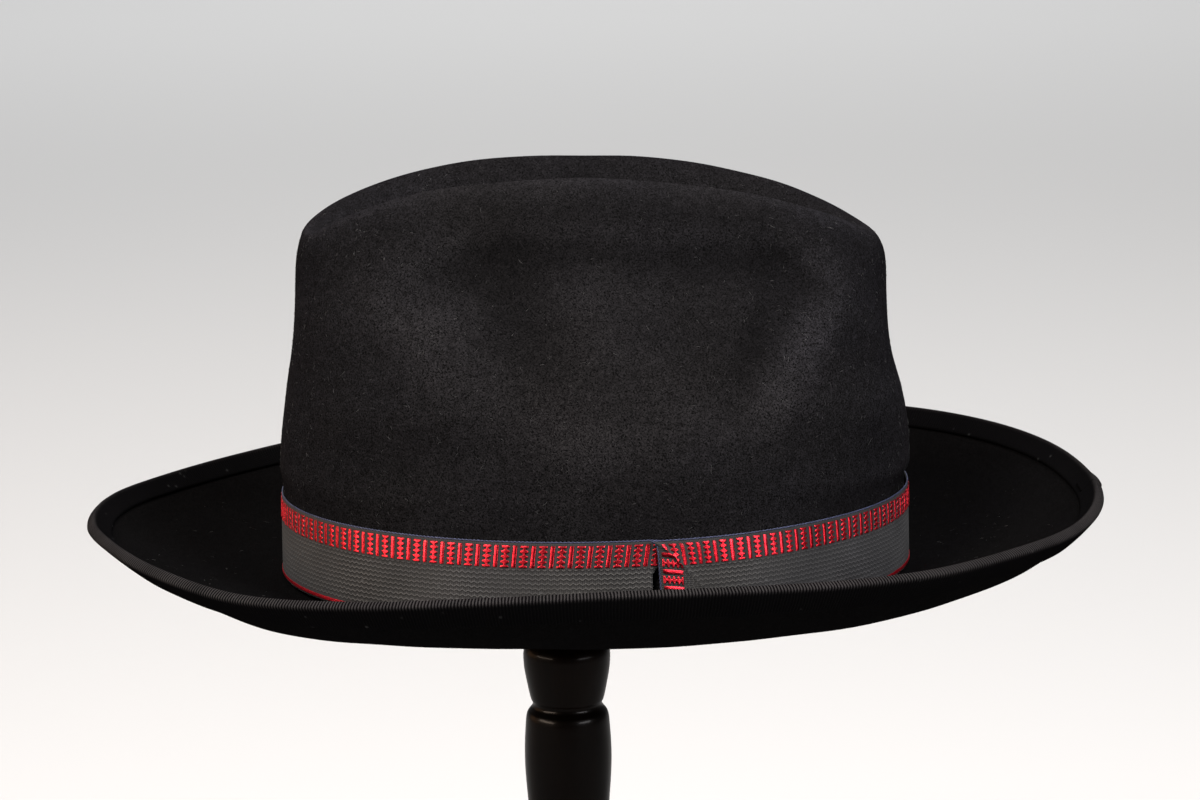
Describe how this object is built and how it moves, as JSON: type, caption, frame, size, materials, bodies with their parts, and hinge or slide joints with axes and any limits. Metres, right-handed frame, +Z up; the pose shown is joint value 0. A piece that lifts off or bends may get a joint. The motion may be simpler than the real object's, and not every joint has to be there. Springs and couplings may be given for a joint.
{
  "type": "fedora hat on a turned wooden stand",
  "caption": "Black felt fedora with a long crown dent, soft side hollows, a curled bound brim and a gray ribbon with a red patterned stripe, on a dark turned wooden stand.",
  "frame": {"origin": "centre of the stand's flat foot, on the floor", "axes": "+Z up, the hat's front faces -Y, the wearer's left is +X"},
  "size_m": [0.2844, 0.336, 0.329],
  "materials": {
    "felt": "short brushed fur felt, matt with a soft sheen",
    "ribbon": "woven ribbon, low sheen",
    "ribbon_red": "woven patterned stripe, soft silk sheen",
    "binding": "cross-ribbed ribbon, low sheen",
    "leather": "smooth, satin",
    "dark_wood": "turned and stained near black, polished"
  },
  "bodies": {
    "root": {"felt_crown": "felt", "felt_brim": "felt", "hat_ribbon": "ribbon", "ribbon_overlap": "ribbon_red", "brim_binding": "binding", "sweatband": "leather", "stand_dome": "dark_wood", "stand_post": "dark_wood", "stand_base": "dark_wood"}
  },
  "joints": []
}
